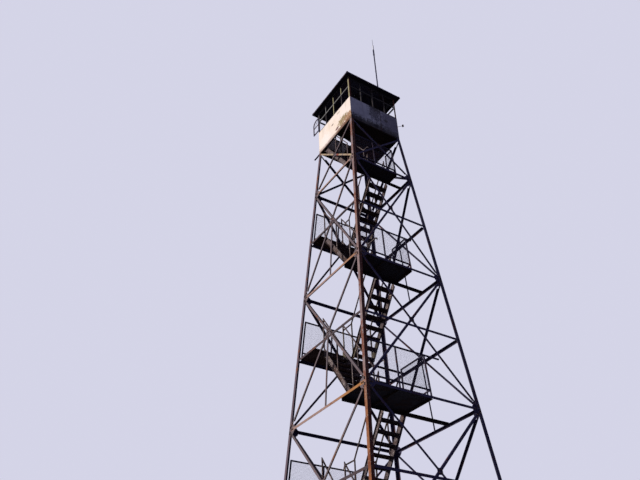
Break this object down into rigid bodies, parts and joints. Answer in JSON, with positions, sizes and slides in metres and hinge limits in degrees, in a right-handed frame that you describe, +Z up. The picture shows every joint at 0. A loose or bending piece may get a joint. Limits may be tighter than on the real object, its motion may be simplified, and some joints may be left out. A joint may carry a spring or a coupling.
{
  "type": "fire lookout tower",
  "caption": "Tall four-legged steel lookout tower with crossed bracing, a switchback stair with railed landings inside it, and a small windowed cab under a hipped roof.",
  "frame": {"origin": "on the ground at the middle of the four footings", "axes": "+Z up; -Y is the sunlit front face, +X the shaded right face with the full landings"},
  "size_m": [5.542, 5.542, 24.6947],
  "materials": {
    "tower_steel": "weathered, rust-streaked",
    "deck_steel": "dark rusted plate",
    "rail_steel": "weathered",
    "cab_sheet": "peeling cream paint",
    "window_paint": "faded grey paint",
    "roof_paint": "weathered",
    "floor_boards": "bare, grey",
    "footing_concrete": "rough",
    "mast_pipe": "dull galvanized",
    "whip_coil": "white, faded",
    "porcelain": "brown glaze"
  },
  "bodies": {
    "root": {"concrete_piers": "footing_concrete", "leg_back_right": "tower_steel", "leg_back_left": "tower_steel", "leg_front_left": "tower_steel", "leg_front_right": "tower_steel", "lattice_front": "tower_steel", "lattice_right": "tower_steel", "lattice_back": "tower_steel", "lattice_left": "tower_steel", "base_bracing": "tower_steel", "landing_1": "deck_steel", "landing_2": "deck_steel", "landing_3": "deck_steel", "landing_4": "deck_steel", "landing_5": "deck_steel", "landing_6": "deck_steel", "landing_7": "deck_steel", "landing_8": "deck_steel", "guard_rails_right": "rail_steel", "guard_rails_left": "rail_steel", "stair_flight_1": "deck_steel", "stair_flight_2": "deck_steel", "stair_flight_3": "deck_steel", "stair_flight_4": "deck_steel", "stair_flight_5": "deck_steel", "stair_flight_6": "deck_steel", "stair_flight_7": "deck_steel", "stair_flight_8": "deck_steel", "stair_flight_9": "deck_steel", "cab_floor_frame": "tower_steel", "cab_floor": "floor_boards", "cab_wall_front": "cab_sheet", "window_bars_front": "window_paint", "cab_wall_right": "cab_sheet", "window_bars_right": "window_paint", "cab_wall_back": "cab_sheet", "window_bars_back": "window_paint", "cab_wall_left": "cab_sheet", "window_bars_left": "window_paint", "cab_corner_posts": "window_paint", "roof_frame": "roof_paint", "roof": "roof_paint", "antenna_mast": "mast_pipe", "antenna_whip": "whip_coil", "leg_conduit": "mast_pipe", "floor_outrigger": "tower_steel", "open_sash": "window_paint", "wire_knob": "porcelain"}
  },
  "joints": []
}
